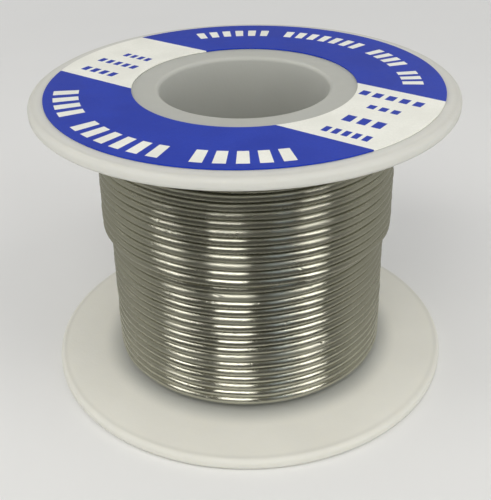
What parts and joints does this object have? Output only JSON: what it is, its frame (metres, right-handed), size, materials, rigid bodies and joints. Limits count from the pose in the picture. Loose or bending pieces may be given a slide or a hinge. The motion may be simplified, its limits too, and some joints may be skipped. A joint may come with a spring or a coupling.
{
  "type": "solder wire spool",
  "caption": "Round two-flanged plastic bobbin with a wide bore, a ring label on top and bright solder wire close-wound in layers round its hub.",
  "frame": {"origin": "middle of the lower flange's outside face, on which the spool stands", "axes": "+Z along the spool's axis, from the plain flange to the labelled one; X and Y are free, because the spool is round"},
  "size_m": [0.05, 0.05, 0.0362],
  "materials": {
    "bobbin_plastic": "satin",
    "solder_wire": "gloss",
    "label_paper": "satin"
  },
  "bodies": {
    "root": {"lower_bobbin_half": "bobbin_plastic", "upper_bobbin_half": "bobbin_plastic", "solder_winding": "solder_wire", "ring_label": "label_paper"}
  },
  "joints": []
}
